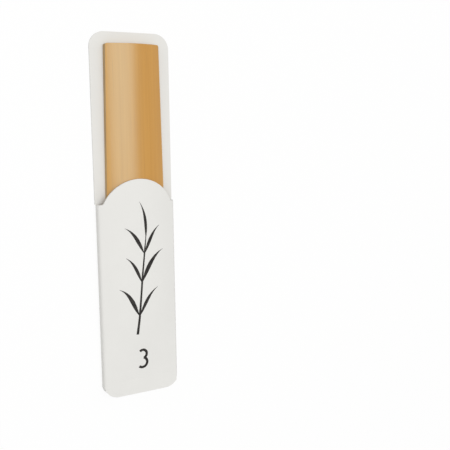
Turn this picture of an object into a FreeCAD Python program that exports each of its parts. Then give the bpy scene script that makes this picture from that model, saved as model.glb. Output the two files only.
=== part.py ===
import FreeCAD, Part
import math
import os

import Sketcher

# A baritone saxophone reed in its folded paperboard sleeve, lying on the sleeve's printed back.
# X runs across the width, Y along the length towards the reed's heel, and Z up out of the pocket's front.
# Every body is drawn standing on its foot, with Y = 0 on the inner face of the back panel and the front
# towards -Y. Its Placement then lays it down, centred over the origin. All lengths are millimetres.
sheet_sizes = {
    # the folded card
    "card_thickness": 0.45,
    "side_room": 1.55,
    "head_room": 3.1,
    "crown_room": 0.1,
    "corner_radius": 4.0,
    "wall_height": 2.3,
    "wall_flat": 0.25,
    # the pocket's front panel: the rise of its crown above the walls at the foot, and the cut of its mouth
    "foot_rise": 0.05,
    "mouth_height": 59.2,
    "shoulder_drop": 6.5,
    "arch_radius": 10.3,
    "arch_foot_radius": 0.8,
    "front_edge_setback": 0.75,
    # the side flap under the front panel and the tuck flap at the foot, with their films of glue
    "flap_reach": 3.7,
    "flap_stub": 1.4,
    "flap_foot": 4.3,
    "flap_setback": 1.7,
    "glue_film": 0.05,
    "glue_margin": 0.5,
    "tuck_inset": 0.3,
    "tuck_height": 3.6,
    "tuck_fold_radius": 0.75,
    # the reed
    "reed_foot": 2.4,
    "reed_length": 91.5,
    "tip_width": 18.0,
    "side_taper": 1.65,
    "reed_thickness": 3.55,
    "rim_thickness": 0.67,
    "heel_corner_radius": 0.5,
    "tip_corner_radius": 1.2,
    "tip_bow": 2.4,
    "tip_thickness": 0.1,
    "vamp_length": 44.0,
    "vamp_crown": 1.1,
    "reed_gap": 0.05,
    # how far cuts run past what they cut
    "overrun": 1.0,
}

# Along the pocket: how high each section lies, and how much of the rise from the foot's crown to the
# mouth's crown it has. The card is held flat at the foot by the tuck flap and bulges over the reed above it.
pocket_shares = [
    (0.0, 0.0),
    (0.075, 0.0),
    (0.12, 0.10),
    (0.18, 0.28),
    (0.25, 0.51),
    (0.32, 0.71),
    (0.39, 0.86),
    (0.45, 0.95),
    (0.51, 1.0),
]

# Along the vamp from the tip: distance, thickness on the centre line above the tip's own, and crown.
vamp_shares = [
    (-0.05, -0.03, 0.02),
    (0.0, 0.0, 0.03),
    (0.25, 0.20, 0.27),
    (0.5, 0.40, 0.52),
    (0.75, 0.655, 0.77),
    (1.0, 1.0, 1.0),
    (1.12, 1.19, 1.1),
]

doc = FreeCAD.newDocument("baritone_reed")
sheet = doc.addObject("Spreadsheet::Sheet", "sizes")
for row, (alias, value) in enumerate(sheet_sizes.items(), start=1):
    sheet.set(f"A{row}", alias)
    sheet.set(f"B{row}", str(value))
    sheet.setAlias(f"B{row}", alias)
doc.recompute()


def size(alias):
    return float(getattr(sheet, alias))


# The tube's curve takes the split strip from its full thickness down to its rim at the width of the tip.
bark_drop = size("reed_thickness") - size("rim_thickness")
bark_drop_text = "(sizes.reed_thickness - sizes.rim_thickness)"
bark_radius = ((size("tip_width") / 2) ** 2 + bark_drop ** 2) / (2 * bark_drop)
bark_radius_text = f"(((sizes.tip_width / 2)^2 + {bark_drop_text}^2) / (2 * {bark_drop_text}))"

# The card is folded to fit the reed, with room beside its tip, over its crown and past its heel. Its folds
# are as round as the wall over the side flap leaves room for, which is lower by the film of glue.
heel_width = size("tip_width") - 2 * size("side_taper")
heel_width_text = "(sizes.tip_width - 2 * sizes.side_taper)"
sleeve_width = size("tip_width") + 2 * (size("card_thickness") + size("side_room"))
sleeve_width_text = "(sizes.tip_width + 2 * (sizes.card_thickness + sizes.side_room))"
sleeve_length = size("reed_foot") + size("reed_length") + size("head_room")
sleeve_length_text = "(sizes.reed_foot + sizes.reed_length + sizes.head_room)"
mouth_crown = size("reed_gap") + size("reed_thickness") + size("card_thickness") + size("crown_room")
mouth_crown_text = "(sizes.reed_gap + sizes.reed_thickness + sizes.card_thickness + sizes.crown_room)"
foot_crown = size("wall_height") + size("foot_rise")
foot_crown_text = "(sizes.wall_height + sizes.foot_rise)"
fold_radius = (size("wall_height") - size("glue_film") - size("wall_flat")) / 2
fold_radius_text = "((sizes.wall_height - sizes.glue_film - sizes.wall_flat) / 2)"


def new_body(label):
    body = doc.addObject("PartDesign::Body", label)
    body.Label = label
    laid_down = FreeCAD.Rotation(FreeCAD.Vector(1, 0, 0), -90)
    body.Placement = FreeCAD.Placement(FreeCAD.Vector(0, 0, 0), laid_down)
    body.setExpression("Placement.Base.y", f"-{sleeve_length_text} / 2")
    body.setExpression("Placement.Base.z", "sizes.card_thickness")
    return body


def new_sketch(body, name, role, offset=None):
    sketch = body.newObject("Sketcher::SketchObject", name)
    plane = next(item for item in body.Origin.OriginFeatures if item.Role == role)
    sketch.AttachmentSupport = [(plane, "")]
    sketch.MapMode = "FlatFace"
    if offset is not None:
        sketch.setExpression("AttachmentOffset.Base.z", offset)
    return sketch


def add_line(sketch, start, end):
    first = FreeCAD.Vector(start[0], start[1], 0)
    last = FreeCAD.Vector(end[0], end[1], 0)
    return sketch.addGeometry(Part.LineSegment(first, last), False)


# An arc runs anticlockwise from its first angle to its last, both in degrees.
def add_arc(sketch, centre, radius, first, last):
    middle = FreeCAD.Vector(centre[0], centre[1], 0)
    circle = Part.Circle(middle, FreeCAD.Vector(0, 0, 1), radius)
    return sketch.addGeometry(Part.ArcOfCircle(circle, math.radians(first), math.radians(last)), False)


def join(sketch, first, first_end, second, second_end, smooth):
    kind = "Tangent" if smooth else "Coincident"
    sketch.addConstraint(Sketcher.Constraint(kind, first, first_end, second, second_end))


# A dimension starts at the drawn value and is then bound to the sheet.
def bind(sketch, name, kind, refs, expression):
    if kind == "Radius":
        value = sketch.Geometry[refs[0]].Radius
    else:
        start = sketch.getPoint(refs[0], refs[1])
        end = sketch.getPoint(refs[2], refs[3])
        value = end.x - start.x if kind == "DistanceX" else end.y - start.y
    index = sketch.addConstraint(Sketcher.Constraint(kind, *refs, value))
    sketch.renameConstraint(index, name)
    sketch.setExpression(f"Constraints.{name}", expression)


def share_centre(sketch, first, second):
    sketch.addConstraint(Sketcher.Constraint("Coincident", first, 3, second, 3))


def same_radius(sketch, first, second):
    sketch.addConstraint(Sketcher.Constraint("Equal", first, second))


def on_vertical_axis(sketch, item, end):
    sketch.addConstraint(Sketcher.Constraint("PointOnObject", item, end, -2))


def angle_of(centre, point):
    return math.degrees(math.atan2(point[1] - centre[1], point[0] - centre[0])) % 360


def reach_expression(share):
    return f"({foot_crown_text} + {share} * ({mouth_crown_text} - {foot_crown_text}))"


# The radius of the front panel's outer face: tangent to both front folds, as deep as the crown.
def crown_radius(crown):
    half = sleeve_width / 2 - fold_radius
    rise = crown - size("wall_height")
    return (half ** 2 / rise + rise) / 2 + fold_radius


def crown_radius_expression(crown):
    half = f"({sleeve_width_text} / 2 - {fold_radius_text})"
    rise = f"({crown} - sizes.wall_height)"
    return f"({half}^2 / {rise} + {rise}) / 2 + {fold_radius_text}"


def crown_at(share):
    return foot_crown + share * (mouth_crown - foot_crown)


# One section of the folded strip: from the cut edge of the front panel round the left folds, across the
# back and up to the flap that lies under the front panel on the right.
def draw_section(body, name, height, share):
    sketch = new_sketch(body, name, "XY_Plane", height)
    card = size("card_thickness")
    fold = fold_radius
    inner = fold - card
    side = sleeve_width / 2
    half = side - fold
    crown = crown_at(share)
    crown_text = reach_expression(share)
    radius = crown_radius(crown)
    centre = (0, radius - crown)
    film = size("glue_film")
    left = (-half, fold - size("wall_height"))
    turn = angle_of(centre, left)
    edge = side - size("front_edge_setback")
    edge_angle = 360 - math.degrees(math.acos(edge / radius))
    back = card - fold
    flap_radius = radius - card - film
    right = (half, centre[1] - math.sqrt((flap_radius - fold) ** 2 - half ** 2))
    right_turn = angle_of(centre, right)
    stop = side - fold_radius - size("flap_reach")
    stop_angle = 360 - math.degrees(math.acos(stop / flap_radius))

    back_out = add_line(sketch, (half, card), (-half, card))
    left_back_out = add_arc(sketch, (-half, back), fold, 90, 180)
    left_out = add_line(sketch, (-side, back), (-side, left[1]))
    left_front_out = add_arc(sketch, left, fold, 180, turn)
    crown_out = add_arc(sketch, centre, radius, turn, edge_angle)
    reach = math.radians(edge_angle)
    out_point = (centre[0] + radius * math.cos(reach), centre[1] + radius * math.sin(reach))
    thin = radius - card
    in_point = (centre[0] + thin * math.cos(reach), centre[1] + thin * math.sin(reach))
    cut = add_line(sketch, out_point, in_point)
    crown_in = add_arc(sketch, centre, thin, turn, edge_angle)
    left_front_in = add_arc(sketch, left, inner, 180, turn)
    left_in = add_line(sketch, (-side + card, left[1]), (-side + card, back))
    left_back_in = add_arc(sketch, (-half, back), inner, 90, 180)
    back_in = add_line(sketch, (-half, 0), (half, 0))
    right_back_in = add_arc(sketch, (half, back), inner, 0, 90)
    right_in = add_line(sketch, (side - card, back), (side - card, right[1]))
    right_front_in = add_arc(sketch, right, inner, right_turn, 360)
    flap_in = add_arc(sketch, centre, flap_radius - card, stop_angle, right_turn)
    stop_at = math.radians(stop_angle)
    low = flap_radius - card
    stop_in = (centre[0] + low * math.cos(stop_at), centre[1] + low * math.sin(stop_at))
    stop_out = (centre[0] + flap_radius * math.cos(stop_at), centre[1] + flap_radius * math.sin(stop_at))
    flap_cut = add_line(sketch, stop_in, stop_out)
    flap_out = add_arc(sketch, centre, flap_radius, stop_angle, right_turn)
    right_front_out = add_arc(sketch, right, fold, right_turn, 360)
    right_out = add_line(sketch, (side, right[1]), (side, back))
    right_back_out = add_arc(sketch, (half, back), fold, 0, 90)

    share_centre(sketch, left_back_in, left_back_out)
    share_centre(sketch, left_front_in, left_front_out)
    share_centre(sketch, right_back_in, right_back_out)
    share_centre(sketch, right_front_in, right_front_out)
    for item in (crown_in, flap_in, flap_out):
        share_centre(sketch, item, crown_out)
    for item in (left_front_out, right_back_out, right_front_out):
        same_radius(sketch, item, left_back_out)
    for item in (left_front_in, right_back_in, right_front_in):
        same_radius(sketch, item, left_back_in)
    on_vertical_axis(sketch, crown_out, 3)

    half_text = f"{sleeve_width_text} / 2 - {fold_radius_text}"
    bind(sketch, "fold_out", "Radius", (left_back_out,), f"{fold_radius_text}")
    bind(sketch, "fold_in", "Radius", (left_back_in,), f"{fold_radius_text} - sizes.card_thickness")
    bind(sketch, "left_back_x", "DistanceX", (left_back_out, 3, -1, 1), half_text)
    bind(sketch, "left_back_y", "DistanceY", (left_back_out, 3, -1, 1),
         f"{fold_radius_text} - sizes.card_thickness")
    bind(sketch, "right_back_x", "DistanceX", (-1, 1, right_back_out, 3), half_text)
    bind(sketch, "right_back_y", "DistanceY", (right_back_out, 3, -1, 1),
         f"{fold_radius_text} - sizes.card_thickness")
    bind(sketch, "left_front_x", "DistanceX", (left_front_out, 3, -1, 1), half_text)
    bind(sketch, "left_front_y", "DistanceY", (left_front_out, 3, -1, 1),
         f"sizes.wall_height - {fold_radius_text}")
    bind(sketch, "right_front_x", "DistanceX", (-1, 1, right_front_out, 3), half_text)
    crown_size = crown_radius_expression(crown_text)
    bind(sketch, "crown_face", "Radius", (crown_out,), crown_size)
    bind(sketch, "flap_face", "Radius", (flap_out,),
         f"{crown_size} - sizes.card_thickness - sizes.glue_film")

    join(sketch, right_back_out, 2, back_out, 1, True)
    join(sketch, back_out, 2, left_back_out, 1, True)
    join(sketch, left_back_out, 2, left_out, 1, True)
    join(sketch, left_out, 2, left_front_out, 1, True)
    join(sketch, left_front_out, 2, crown_out, 1, True)
    join(sketch, crown_out, 2, cut, 1, False)
    join(sketch, cut, 2, crown_in, 2, False)
    join(sketch, crown_in, 1, left_front_in, 2, True)
    join(sketch, left_front_in, 1, left_in, 1, True)
    join(sketch, left_in, 2, left_back_in, 2, True)
    join(sketch, left_back_in, 1, back_in, 1, True)
    join(sketch, back_in, 2, right_back_in, 2, True)
    join(sketch, right_back_in, 1, right_in, 1, True)
    join(sketch, right_in, 2, right_front_in, 2, True)
    join(sketch, right_front_in, 1, flap_in, 2, True)
    join(sketch, flap_in, 1, flap_cut, 1, False)
    join(sketch, flap_cut, 2, flap_out, 1, False)
    join(sketch, flap_out, 2, right_front_out, 1, True)
    join(sketch, right_front_out, 2, right_out, 1, True)
    join(sketch, right_out, 2, right_back_out, 1, True)

    for item in (cut, flap_cut):
        sketch.addConstraint(Sketcher.Constraint("PointOnObject", crown_out, 3, item))
    bind(sketch, "edge_x", "DistanceX", (-1, 1, crown_out, 2),
         f"{sleeve_width_text} / 2 - sizes.front_edge_setback")
    bind(sketch, "stop_x", "DistanceX", (-1, 1, flap_out, 1), f"{half_text} - sizes.flap_reach")
    return sketch


# A band between two arcs about the crown's centre, closed by radial ends, seen along the sleeve.
def draw_band(body, name, height, share, outer, inner, first, last):
    sketch = new_sketch(body, name, "XY_Plane", height)
    radius = crown_radius(crown_at(share))
    centre = (0, radius - crown_at(share))
    big = radius - outer[0]
    small = radius - inner[0]
    angles = [360 - math.degrees(math.acos(place[0] / big)) for place in (first, last)]
    out_arc = add_arc(sketch, centre, big, angles[0], angles[1])
    in_arc = add_arc(sketch, centre, small, angles[0], angles[1])
    ends = []
    for angle in angles:
        turn = math.radians(angle)
        far = (big * math.cos(turn), centre[1] + big * math.sin(turn))
        near = (small * math.cos(turn), centre[1] + small * math.sin(turn))
        ends.append(add_line(sketch, far, near))
    crown_size = crown_radius_expression(reach_expression(share))
    share_centre(sketch, in_arc, out_arc)
    on_vertical_axis(sketch, out_arc, 3)
    bind(sketch, "centre_y", "DistanceY", (-1, 1, out_arc, 3),
         f"{crown_size} - {reach_expression(share)}")
    bind(sketch, "outer_face", "Radius", (out_arc,), f"{crown_size} - ({outer[1]})")
    bind(sketch, "inner_face", "Radius", (in_arc,), f"{crown_size} - ({inner[1]})")
    for end, line, place in ((1, ends[0], first), (2, ends[1], last)):
        join(sketch, out_arc, end, line, 1, False)
        join(sketch, line, 2, in_arc, end, False)
        sketch.addConstraint(Sketcher.Constraint("PointOnObject", out_arc, 3, line))
    bind(sketch, "first_x", "DistanceX", (-1, 1, out_arc, 1), first[1])
    bind(sketch, "last_x", "DistanceX", (-1, 1, out_arc, 2), last[1])
    return sketch


def add_feature(body, kind, name, profile):
    feature = body.newObject(kind, name)
    feature.Profile = profile
    return feature


# A cut has to take something away: its volume is compared with that of the body before it.
def checked_cut(body, feature, volume_before):
    doc.recompute()
    if not feature.Shape.Volume < volume_before:
        raise RuntimeError(f"{feature.Name} cuts nothing")
    return feature.Shape.Volume


# The folded sleeve
sleeve = new_body("folded_sleeve")
sections = []
for number, (height_share, crown_share) in enumerate(pocket_shares):
    level = f"{height_share} * sizes.mouth_height"
    sections.append(draw_section(sleeve, f"strip_section_{number}", level, crown_share))
sections.append(draw_section(sleeve, "strip_section_mouth", "sizes.mouth_height + sizes.overrun", 1.0))
tube = add_feature(sleeve, "PartDesign::AdditiveLoft", "folded_strip", sections[0])
tube.Sections = sections[1:]
tube.Ruled = True
doc.recompute()

# Above the pocket's shoulders the back panel stands alone, with square edges and rounded top corners.
panel_sketch = new_sketch(sleeve, "back_panel_outline", "XZ_Plane")
edge_x = sleeve_width / 2
bend = size("corner_radius")
top_z = sleeve_length
shoulder_z = size("mouth_height") - size("shoulder_drop")
panel_foot = add_line(panel_sketch, (-edge_x, shoulder_z), (edge_x, shoulder_z))
panel_right = add_line(panel_sketch, (edge_x, shoulder_z), (edge_x, top_z - bend))
panel_right_bend = add_arc(panel_sketch, (edge_x - bend, top_z - bend), bend, 0, 90)
panel_top = add_line(panel_sketch, (edge_x - bend, top_z), (bend - edge_x, top_z))
panel_left_bend = add_arc(panel_sketch, (bend - edge_x, top_z - bend), bend, 90, 180)
panel_left = add_line(panel_sketch, (-edge_x, top_z - bend), (-edge_x, shoulder_z))
join(panel_sketch, panel_foot, 2, panel_right, 1, False)
join(panel_sketch, panel_right, 2, panel_right_bend, 1, True)
join(panel_sketch, panel_right_bend, 2, panel_top, 1, True)
join(panel_sketch, panel_top, 2, panel_left_bend, 1, True)
join(panel_sketch, panel_left_bend, 2, panel_left, 1, True)
join(panel_sketch, panel_left, 2, panel_foot, 1, False)
panel_sketch.addConstraint(Sketcher.Constraint("Horizontal", panel_foot))
panel_sketch.addConstraint(Sketcher.Constraint("Vertical", panel_right))
panel_sketch.addConstraint(Sketcher.Constraint("Vertical", panel_left))
same_radius(panel_sketch, panel_left_bend, panel_right_bend)
bind(panel_sketch, "bend", "Radius", (panel_right_bend,), "sizes.corner_radius")
bind(panel_sketch, "right_x", "DistanceX", (-1, 1, panel_foot, 2), f"{sleeve_width_text} / 2")
bind(panel_sketch, "left_x", "DistanceX", (panel_foot, 1, -1, 1), f"{sleeve_width_text} / 2")
bind(panel_sketch, "foot_z", "DistanceY", (-1, 1, panel_foot, 1),
     "sizes.mouth_height - sizes.shoulder_drop")
bind(panel_sketch, "bend_z", "DistanceY", (-1, 1, panel_right_bend, 3),
     f"{sleeve_length_text} - sizes.corner_radius")
panel = add_feature(sleeve, "PartDesign::Pad", "back_panel", panel_sketch)
panel.Reversed = True
panel.setExpression("Length", "sizes.card_thickness")
doc.recompute()

# The mouth: walls and front panel are cut away above level shoulders and an arch over the reed.
arch_sketch = new_sketch(sleeve, "mouth_outline", "XZ_Plane")
bow = size("arch_radius")
foot_bow = size("arch_foot_radius")
bow_z = size("mouth_height") - bow
foot_z = shoulder_z + foot_bow
foot_x = math.sqrt((bow + foot_bow) ** 2 - (foot_z - bow_z) ** 2)
far_x = edge_x + size("overrun")
far_z = size("mouth_height") + 2 * size("overrun")
lean = angle_of((0, bow_z), (foot_x, foot_z))
mouth_left = add_line(arch_sketch, (-far_x, shoulder_z), (-foot_x, shoulder_z))
mouth_left_foot = add_arc(arch_sketch, (-foot_x, foot_z), foot_bow, 270, 360 - lean)
mouth_arch = add_arc(arch_sketch, (0, bow_z), bow, lean, 180 - lean)
mouth_right_foot = add_arc(arch_sketch, (foot_x, foot_z), foot_bow, 180 + lean, 270)
mouth_right = add_line(arch_sketch, (foot_x, shoulder_z), (far_x, shoulder_z))
mouth_side = add_line(arch_sketch, (far_x, shoulder_z), (far_x, far_z))
mouth_top = add_line(arch_sketch, (far_x, far_z), (-far_x, far_z))
mouth_end = add_line(arch_sketch, (-far_x, far_z), (-far_x, shoulder_z))
join(arch_sketch, mouth_left, 2, mouth_left_foot, 1, True)
join(arch_sketch, mouth_left_foot, 2, mouth_arch, 2, True)
join(arch_sketch, mouth_arch, 1, mouth_right_foot, 1, True)
join(arch_sketch, mouth_right_foot, 2, mouth_right, 1, True)
join(arch_sketch, mouth_right, 2, mouth_side, 1, False)
join(arch_sketch, mouth_side, 2, mouth_top, 1, False)
join(arch_sketch, mouth_top, 2, mouth_end, 1, False)
join(arch_sketch, mouth_end, 2, mouth_left, 1, False)
arch_sketch.addConstraint(Sketcher.Constraint("Horizontal", mouth_left))
arch_sketch.addConstraint(Sketcher.Constraint("Horizontal", mouth_right))
arch_sketch.addConstraint(Sketcher.Constraint("Horizontal", mouth_top))
arch_sketch.addConstraint(Sketcher.Constraint("Vertical", mouth_side))
arch_sketch.addConstraint(Sketcher.Constraint("Vertical", mouth_end))
same_radius(arch_sketch, mouth_left_foot, mouth_right_foot)
on_vertical_axis(arch_sketch, mouth_arch, 3)
bind(arch_sketch, "foot_bow", "Radius", (mouth_right_foot,), "sizes.arch_foot_radius")
bind(arch_sketch, "bow", "Radius", (mouth_arch,), "sizes.arch_radius")
bind(arch_sketch, "bow_z", "DistanceY", (-1, 1, mouth_arch, 3), "sizes.mouth_height - sizes.arch_radius")
bind(arch_sketch, "left_z", "DistanceY", (-1, 1, mouth_left, 1),
     "sizes.mouth_height - sizes.shoulder_drop")
bind(arch_sketch, "right_z", "DistanceY", (-1, 1, mouth_right, 2),
     "sizes.mouth_height - sizes.shoulder_drop")
bind(arch_sketch, "left_x", "DistanceX", (mouth_left, 1, -1, 1),
     f"{sleeve_width_text} / 2 + sizes.overrun")
bind(arch_sketch, "right_x", "DistanceX", (-1, 1, mouth_right, 2),
     f"{sleeve_width_text} / 2 + sizes.overrun")
bind(arch_sketch, "top_z", "DistanceY", (-1, 1, mouth_top, 1), "sizes.mouth_height + 2 * sizes.overrun")
left_over = panel.Shape.Volume
mouth = add_feature(sleeve, "PartDesign::Pocket", "mouth_cut", arch_sketch)
mouth.Type = "ThroughAll"
mouth.Reversed = True
left_over = checked_cut(sleeve, mouth, left_over)

# The side flap is cut back to a stub above its head and below its foot, inside the film of glue.
film_text = "sizes.card_thickness + sizes.glue_film / 2"
deep_text = "2 * sizes.card_thickness + sizes.glue_film + sizes.overrun / 2"
film_depth = size("card_thickness") + size("glue_film") / 2
deep_depth = 2 * size("card_thickness") + size("glue_film") + size("overrun") / 2
half_width = sleeve_width / 2 - fold_radius
half_width_text = f"{sleeve_width_text} / 2 - {fold_radius_text}"
flap_head_text = "sizes.mouth_height - sizes.shoulder_drop - sizes.flap_setback"
trim_first = (half_width - size("flap_reach") - size("overrun"),
              f"{half_width_text} - sizes.flap_reach - sizes.overrun")
trim_last = (half_width - size("flap_stub"), f"{half_width_text} - sizes.flap_stub")
for trim_name, trim_level, trim_share, upward in (
    ("flap_head_trim", flap_head_text, 1.0, True),
    ("flap_foot_trim", "sizes.flap_foot", 0.0, False),
):
    trim_sketch = draw_band(
        sleeve, f"{trim_name}_outline", trim_level, trim_share,
        (film_depth, film_text), (deep_depth, deep_text), trim_first, trim_last,
    )
    trim = add_feature(sleeve, "PartDesign::Pocket", trim_name, trim_sketch)
    trim.Type = "ThroughAll"
    trim.Reversed = upward
    left_over = checked_cut(sleeve, trim, left_over)

# The foot: the back panel turns forward between the corners and tucks up inside the front panel.
tuck_sketch = new_sketch(sleeve, "tuck_profile", "YZ_Plane")
card_y = size("card_thickness")
tuck_bend = size("tuck_fold_radius")
tuck_inner = tuck_bend - card_y
tuck_y = foot_crown - card_y - size("glue_film")
tuck_z = size("tuck_height")
slope_y = tuck_bend - tuck_y
outer_back = add_line(tuck_sketch, (card_y, tuck_z), (card_y, tuck_bend))
outer_back_bend = add_arc(tuck_sketch, (card_y - tuck_bend, tuck_bend), tuck_bend, 270, 360)
outer_foot = add_line(tuck_sketch, (card_y - tuck_bend, 0), (slope_y, 0))
outer_front_bend = add_arc(tuck_sketch, (slope_y, tuck_bend), tuck_bend, 180, 270)
outer_front = add_line(tuck_sketch, (-tuck_y, tuck_bend), (-tuck_y, tuck_z))
tuck_end = add_line(tuck_sketch, (-tuck_y, tuck_z), (card_y - tuck_y, tuck_z))
inner_front = add_line(tuck_sketch, (card_y - tuck_y, tuck_z), (card_y - tuck_y, tuck_bend))
inner_front_bend = add_arc(tuck_sketch, (slope_y, tuck_bend), tuck_inner, 180, 270)
inner_foot = add_line(tuck_sketch, (slope_y, card_y), (card_y - tuck_bend, card_y))
inner_back_bend = add_arc(tuck_sketch, (card_y - tuck_bend, tuck_bend), tuck_inner, 270, 360)
inner_back = add_line(tuck_sketch, (0, tuck_bend), (0, tuck_z))
back_end = add_line(tuck_sketch, (0, tuck_z), (card_y, tuck_z))
share_centre(tuck_sketch, inner_back_bend, outer_back_bend)
share_centre(tuck_sketch, inner_front_bend, outer_front_bend)
same_radius(tuck_sketch, outer_front_bend, outer_back_bend)
same_radius(tuck_sketch, inner_front_bend, inner_back_bend)
join(tuck_sketch, outer_back, 2, outer_back_bend, 2, True)
join(tuck_sketch, outer_back_bend, 1, outer_foot, 1, True)
join(tuck_sketch, outer_foot, 2, outer_front_bend, 2, True)
join(tuck_sketch, outer_front_bend, 1, outer_front, 1, True)
join(tuck_sketch, outer_front, 2, tuck_end, 1, False)
join(tuck_sketch, tuck_end, 2, inner_front, 1, False)
join(tuck_sketch, inner_front, 2, inner_front_bend, 1, True)
join(tuck_sketch, inner_front_bend, 2, inner_foot, 1, True)
join(tuck_sketch, inner_foot, 2, inner_back_bend, 1, True)
join(tuck_sketch, inner_back_bend, 2, inner_back, 1, True)
join(tuck_sketch, inner_back, 2, back_end, 1, False)
join(tuck_sketch, back_end, 2, outer_back, 1, False)
for item in (outer_back, outer_front, inner_front, inner_back):
    tuck_sketch.addConstraint(Sketcher.Constraint("Vertical", item))
for item in (tuck_end, back_end):
    tuck_sketch.addConstraint(Sketcher.Constraint("Horizontal", item))
bind(tuck_sketch, "bend_out", "Radius", (outer_back_bend,), "sizes.tuck_fold_radius")
bind(tuck_sketch, "bend_in", "Radius", (inner_back_bend,),
     "sizes.tuck_fold_radius - sizes.card_thickness")
bind(tuck_sketch, "back_y", "DistanceY", (-1, 1, outer_back_bend, 3), "sizes.tuck_fold_radius")
bind(tuck_sketch, "front_y", "DistanceY", (-1, 1, outer_front_bend, 3), "sizes.tuck_fold_radius")
bind(tuck_sketch, "back_x", "DistanceX", (outer_back_bend, 3, -1, 1),
     "sizes.tuck_fold_radius - sizes.card_thickness")
bind(tuck_sketch, "front_x", "DistanceX", (outer_front_bend, 3, -1, 1),
     f"{foot_crown_text} - sizes.card_thickness - sizes.glue_film - sizes.tuck_fold_radius")
bind(tuck_sketch, "tuck_top", "DistanceY", (-1, 1, tuck_end, 1), "sizes.tuck_height")
bind(tuck_sketch, "back_top", "DistanceY", (-1, 1, back_end, 1), "sizes.tuck_height")

# The strip's own back panel ends above the fold, so that the fold's rounded edge stays rounded.
foot_sketch = new_sketch(sleeve, "back_foot_outline", "YZ_Plane")
spare = size("overrun")
foot_low = add_line(foot_sketch, (-tuck_inner, -spare), (card_y + spare, -spare))
foot_right = add_line(foot_sketch, (card_y + spare, -spare), (card_y + spare, tuck_bend))
foot_high = add_line(foot_sketch, (card_y + spare, tuck_bend), (-tuck_inner, tuck_bend))
foot_left = add_line(foot_sketch, (-tuck_inner, tuck_bend), (-tuck_inner, -spare))
join(foot_sketch, foot_low, 2, foot_right, 1, False)
join(foot_sketch, foot_right, 2, foot_high, 1, False)
join(foot_sketch, foot_high, 2, foot_left, 1, False)
join(foot_sketch, foot_left, 2, foot_low, 1, False)
for item in (foot_low, foot_high):
    foot_sketch.addConstraint(Sketcher.Constraint("Horizontal", item))
for item in (foot_left, foot_right):
    foot_sketch.addConstraint(Sketcher.Constraint("Vertical", item))
bind(foot_sketch, "low_z", "DistanceY", (foot_low, 1, -1, 1), "sizes.overrun")
bind(foot_sketch, "left_y", "DistanceX", (foot_low, 1, -1, 1),
     "sizes.tuck_fold_radius - sizes.card_thickness")
bind(foot_sketch, "right_y", "DistanceX", (-1, 1, foot_low, 2), "sizes.card_thickness + sizes.overrun")
bind(foot_sketch, "high_z", "DistanceY", (-1, 1, foot_high, 1), "sizes.tuck_fold_radius")
tuck_width = f"2 * ({sleeve_width_text} / 2 - sizes.corner_radius - sizes.tuck_inset)"
foot_cut = add_feature(sleeve, "PartDesign::Pocket", "back_foot_cut", foot_sketch)
foot_cut.SideType = "Symmetric"
foot_cut.setExpression("Length", tuck_width)
left_over = checked_cut(sleeve, foot_cut, left_over)
tuck = add_feature(sleeve, "PartDesign::Pad", "tuck_flap", tuck_sketch)
tuck.SideType = "Symmetric"
tuck.setExpression("Length", tuck_width)
doc.recompute()
left_over = tuck.Shape.Volume

# Both layers are die-cut to the same rounded corners at the foot, which stay open at the sides.
corner_sketch = new_sketch(sleeve, "foot_corner_outline", "XZ_Plane",
                           "-(sizes.card_thickness + sizes.overrun)")
for side_name, sign in (("left", -1), ("right", 1)):
    near = sign * (edge_x - bend)
    wide = sign * (edge_x + spare)
    base = add_line(corner_sketch, (near, -spare), (wide, -spare))
    outside = add_line(corner_sketch, (wide, -spare), (wide, bend))
    shelf = add_line(corner_sketch, (wide, bend), (sign * edge_x, bend))
    angles = (180, 270) if sign < 0 else (270, 360)
    curve = add_arc(corner_sketch, (near, bend), bend, angles[0], angles[1])
    post = add_line(corner_sketch, (near, 0), (near, -spare))
    join(corner_sketch, base, 2, outside, 1, False)
    join(corner_sketch, outside, 2, shelf, 1, False)
    join(corner_sketch, shelf, 2, curve, 1 if sign < 0 else 2, False)
    join(corner_sketch, curve, 2 if sign < 0 else 1, post, 1, False)
    join(corner_sketch, post, 2, base, 1, False)
    for item in (base, shelf):
        corner_sketch.addConstraint(Sketcher.Constraint("Horizontal", item))
    for item in (outside, post):
        corner_sketch.addConstraint(Sketcher.Constraint("Vertical", item))
    bind(corner_sketch, f"{side_name}_bend", "Radius", (curve,), "sizes.corner_radius")
    bind(corner_sketch, f"{side_name}_centre_z", "DistanceY", (-1, 1, curve, 3), "sizes.corner_radius")
    near_refs = (curve, 3, -1, 1) if sign < 0 else (-1, 1, curve, 3)
    wide_refs = (base, 2, -1, 1) if sign < 0 else (-1, 1, base, 2)
    bind(corner_sketch, f"{side_name}_centre_x", "DistanceX", near_refs,
         f"{sleeve_width_text} / 2 - sizes.corner_radius")
    bind(corner_sketch, f"{side_name}_wide_x", "DistanceX", wide_refs,
         f"{sleeve_width_text} / 2 + sizes.overrun")
    bind(corner_sketch, f"{side_name}_base_z", "DistanceY", (base, 1, -1, 1), "sizes.overrun")
    bind(corner_sketch, f"{side_name}_shelf_z", "DistanceY", (-1, 1, shelf, 1), "sizes.corner_radius")
    corner_sketch.addConstraint(Sketcher.Constraint("PointOnObject", curve, 3, post))
corners = add_feature(sleeve, "PartDesign::Pocket", "foot_corner_cut", corner_sketch)
corners.Type = "ThroughAll"
corners.Reversed = True
left_over = checked_cut(sleeve, corners, left_over)

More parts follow.
